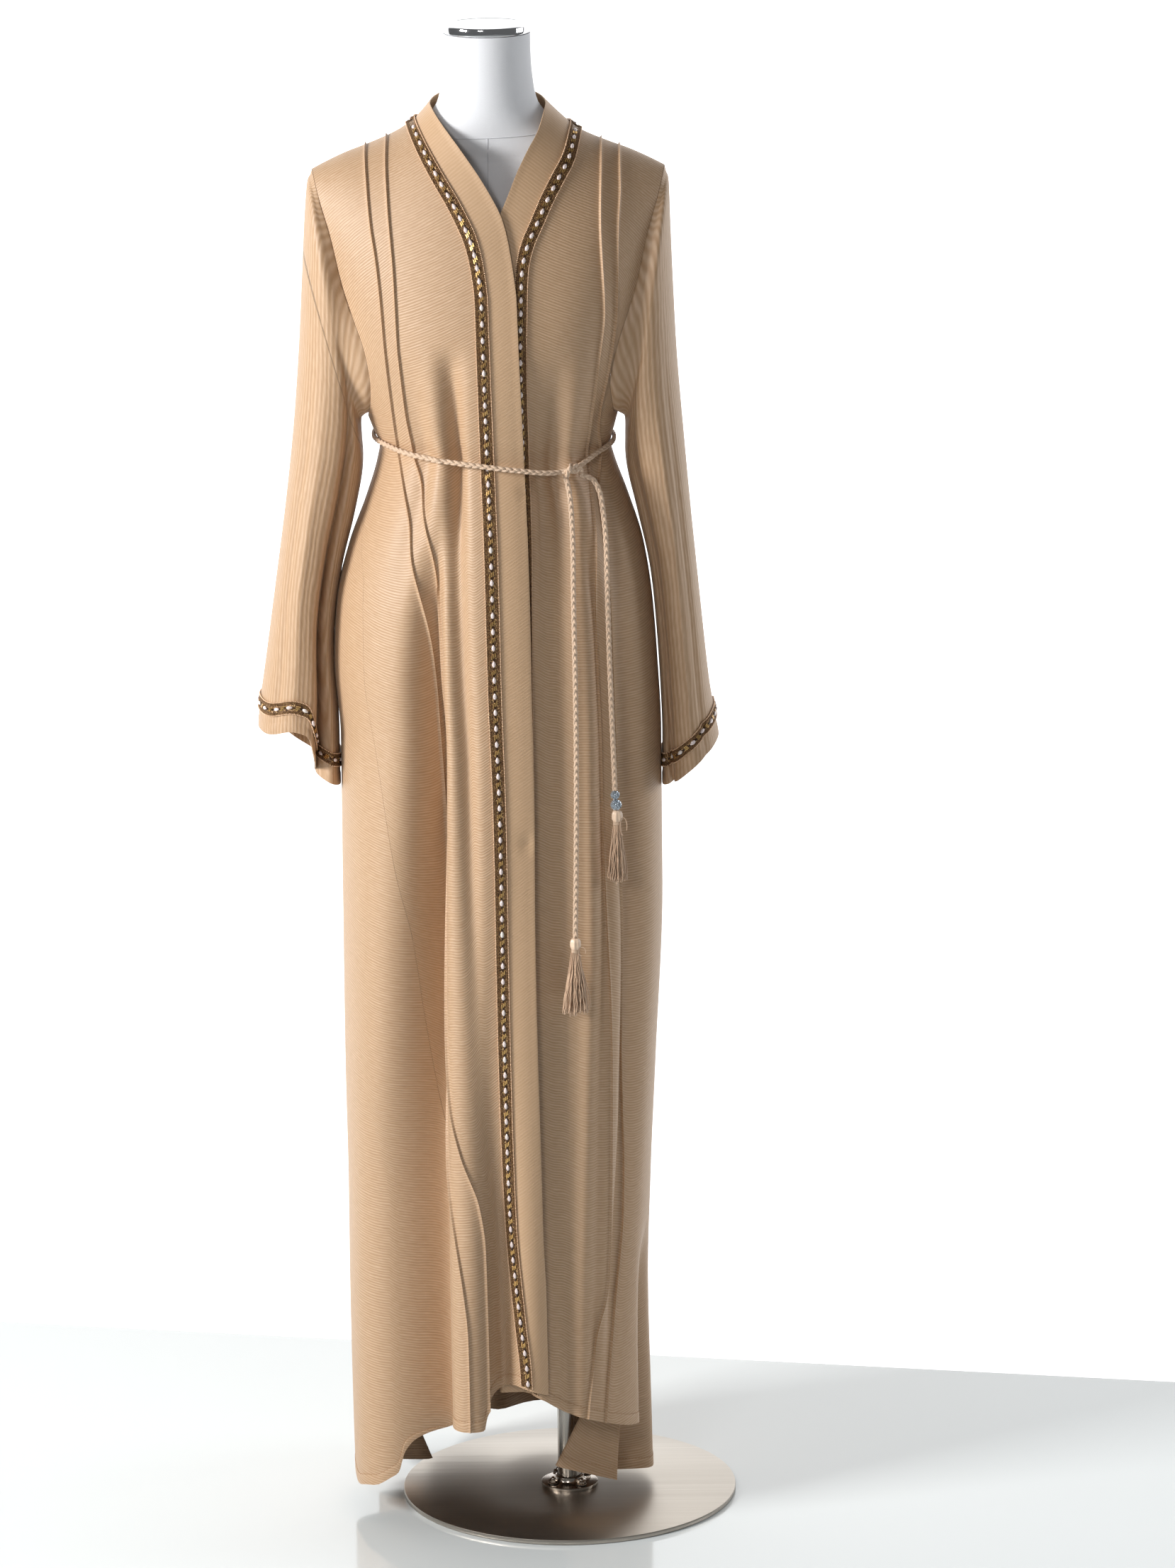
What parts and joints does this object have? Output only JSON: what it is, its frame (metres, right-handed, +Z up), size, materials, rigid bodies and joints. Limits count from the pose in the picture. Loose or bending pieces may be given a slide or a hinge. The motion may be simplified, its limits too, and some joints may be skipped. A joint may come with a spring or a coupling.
{
  "type": "abaya cloak on a dress form",
  "caption": "Long open-front abaya cloak with beaded trim, wide sleeves and a tasselled cord belt, worn on a limbless dress form on a round base plate.",
  "frame": {"origin": "middle of the base plate's underside, on the floor", "axes": "+Z up the pole, -Y toward the front of the cloak, +X toward the wearer's left"},
  "size_m": [0.5545, 0.4, 1.7726],
  "materials": {
    "cloth": "soft crinkled crepe",
    "band_satin": "smooth satin",
    "beaded_trim": "beaded braid",
    "cord": "braided satin cord",
    "crystal": "faceted beads",
    "form_linen": "white linen cover",
    "chrome": "polished",
    "steel": "brushed"
  },
  "bodies": {
    "root": {"front_right": "cloth", "front_left": "cloth", "back": "cloth", "sleeve_right": "cloth", "sleeve_left": "cloth", "band_right": "band_satin", "band_left": "band_satin", "collar_back": "band_satin", "trim_right": "beaded_trim", "trim_left": "beaded_trim", "trim_neck": "beaded_trim", "cuff_trim_right": "beaded_trim", "cuff_trim_left": "beaded_trim", "belt": "cord", "belt_knot": "cord", "cord_long": "cord", "cord_short": "cord", "tassel_long": "cord", "tassel_short": "cord", "bead_upper": "crystal", "bead_lower": "crystal", "form": "form_linen", "neck_cap": "chrome", "pole": "steel", "flange": "chrome", "nut_1": "chrome", "nut_2": "chrome", "nut_3": "chrome", "nut_4": "chrome", "base_plate": "steel"}
  },
  "joints": []
}
